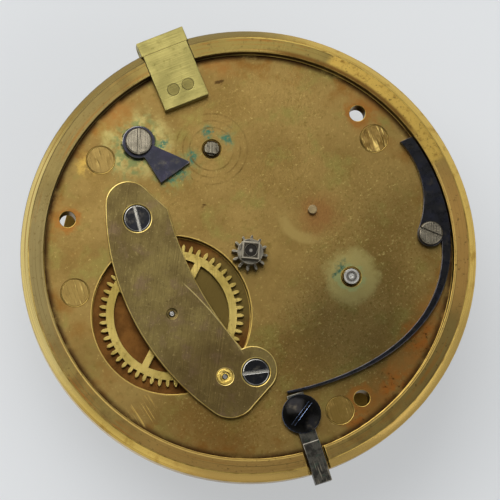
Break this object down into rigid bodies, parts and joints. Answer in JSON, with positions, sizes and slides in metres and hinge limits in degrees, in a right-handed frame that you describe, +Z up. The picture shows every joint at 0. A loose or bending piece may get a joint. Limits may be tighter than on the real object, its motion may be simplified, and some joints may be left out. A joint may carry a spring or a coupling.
{
  "type": "pocket watch movement",
  "caption": "Round full-plate fusee pocket watch movement, dial side bare, with rim, hinge, bolt, crescent bridge over a wheel, and a verge going train between the plates.",
  "frame": {"origin": "middle of the underside, under the centre of the pillar plate", "axes": "+Z up out of the dial side, +Y towards the case hinge"},
  "size_m": [0.0456, 0.0478, 0.0159],
  "materials": {
    "plate_brass": "aged gilt brass, satin",
    "bridge_brass": "darker stoned brass with bright edges",
    "hinge_brass": "pale brass, filed",
    "wheel_brass": "gilt brass, polished",
    "blued_steel": "blued steel, polished",
    "polished_steel": "polished steel",
    "dark_steel": "dark worn steel"
  },
  "bodies": {
    "frame": {"pillar_plate": "plate_brass", "hinge_block": "hinge_brass", "hinge_rivets": "wheel_brass", "third_wheel_bridge": "bridge_brass", "bridge_screws": "blued_steel", "contrate_bush": "wheel_brass", "click_screw": "polished_steel", "bolt_screw": "blued_steel", "bolt_spring": "blued_steel", "bolt_spring_screw": "polished_steel", "minute_wheel_stud": "wheel_brass", "pillars": "hinge_brass", "pillar_pins": "polished_steel", "top_plate": "plate_brass", "balance_cock": "wheel_brass", "cock_screw": "blued_steel", "cock_end_cap": "polished_steel", "potence": "hinge_brass", "counter_potence": "hinge_brass", "potence_screws": "blued_steel", "hairspring": "blued_steel", "hairspring_stud": "polished_steel", "fusee_chain": "polished_steel", "barrel_arbor": "polished_steel", "mainspring": "dark_steel"},
    "third": {"third_wheel": "wheel_brass", "third_arbor": "polished_steel"},
    "centre": {"centre_wheel": "wheel_brass", "centre_arbor": "polished_steel"},
    "cannon": {"cannon_pinion": "dark_steel"},
    "fusee": {"fusee_cone": "wheel_brass", "great_wheel": "wheel_brass", "fusee_arbor": "polished_steel"},
    "barrel": {"barrel_drum": "wheel_brass", "barrel_cover": "wheel_brass"},
    "contrate": {"contrate_wheel": "wheel_brass", "contrate_arbor": "polished_steel"},
    "crown": {"crown_wheel": "wheel_brass", "crown_arbor": "polished_steel"},
    "balance": {"balance_wheel": "wheel_brass", "verge": "polished_steel", "balance_collet": "wheel_brass"},
    "regulator": {"regulator_index": "polished_steel"},
    "click_lever": {"click": "blued_steel"},
    "case_bolt": {"bolt": "dark_steel"}
  },
  "joints": [
    {"name": "third_spin", "type": "hinge", "parent": "frame", "child": "third", "pos_m": [-0.00944, -0.00269, 0.01219], "axis": [0, 0, 1], "continuous": true},
    {"name": "centre_spin", "type": "hinge", "parent": "frame", "child": "centre", "pos_m": [0, 0, 0.01219], "axis": [0, 0, 1], "continuous": true},
    {"name": "fusee_spin", "type": "hinge", "parent": "frame", "child": "fusee", "pos_m": [0.00868, -0.00585, 0.01219], "axis": [0, 0, 1], "continuous": true},
    {"name": "barrel_spin", "type": "hinge", "parent": "frame", "child": "barrel", "pos_m": [0.00062, 0.01137, 0.01219], "axis": [0, 0, 1], "continuous": true},
    {"name": "contrate_spin", "type": "hinge", "parent": "frame", "child": "contrate", "pos_m": [-0.00693, -0.01047, 0.01219], "axis": [0, 0, 1], "continuous": true},
    {"name": "crown_spin", "type": "hinge", "parent": "frame", "child": "crown", "pos_m": [-0.00586, -0.00219, 0.00719], "axis": [-0.1288, -0.9917, 0], "continuous": true},
    {"name": "hand_set", "type": "hinge", "parent": "centre", "child": "cannon", "pos_m": [0, 0, 0.01369], "axis": [0, 0, 1], "continuous": true},
    {"name": "balance_swing", "type": "hinge", "parent": "frame", "child": "balance", "pos_m": [-0.00586, -0.00219, 0.0012], "axis": [0, 0, 1], "range_deg": [-110, 110], "stiffness_Nm_per_rad": 0.000004, "deforming": ["hairspring"]},
    {"name": "regulator_turn", "type": "hinge", "parent": "frame", "child": "regulator", "pos_m": [-0.00586, -0.00219, 0.00275], "axis": [0, 0, 1], "range_deg": [-25, 25]},
    {"name": "click_pivot", "type": "hinge", "parent": "frame", "child": "click_lever", "pos_m": [-0.006, 0.01462, 0.01309], "axis": [0, 0, 1], "range_deg": [-8, 30]},
    {"name": "bolt_slide", "type": "slide", "parent": "frame", "child": "case_bolt", "axis": [0.0785, 0.9969, 0], "range_m": [0, 0.0009], "stiffness_N_per_m": 300, "deforming": ["bolt_spring"]}
  ],
  "couplings": [
    {"joint": "centre_spin", "follows": "third_spin", "ratio": -0.11111},
    {"joint": "fusee_spin", "follows": "third_spin", "ratio": 0.024691},
    {"joint": "barrel_spin", "follows": "third_spin", "ratio": 0.019592},
    {"joint": "contrate_spin", "follows": "third_spin", "ratio": -5.4},
    {"joint": "crown_spin", "follows": "third_spin", "ratio": -43.2}
  ]
}
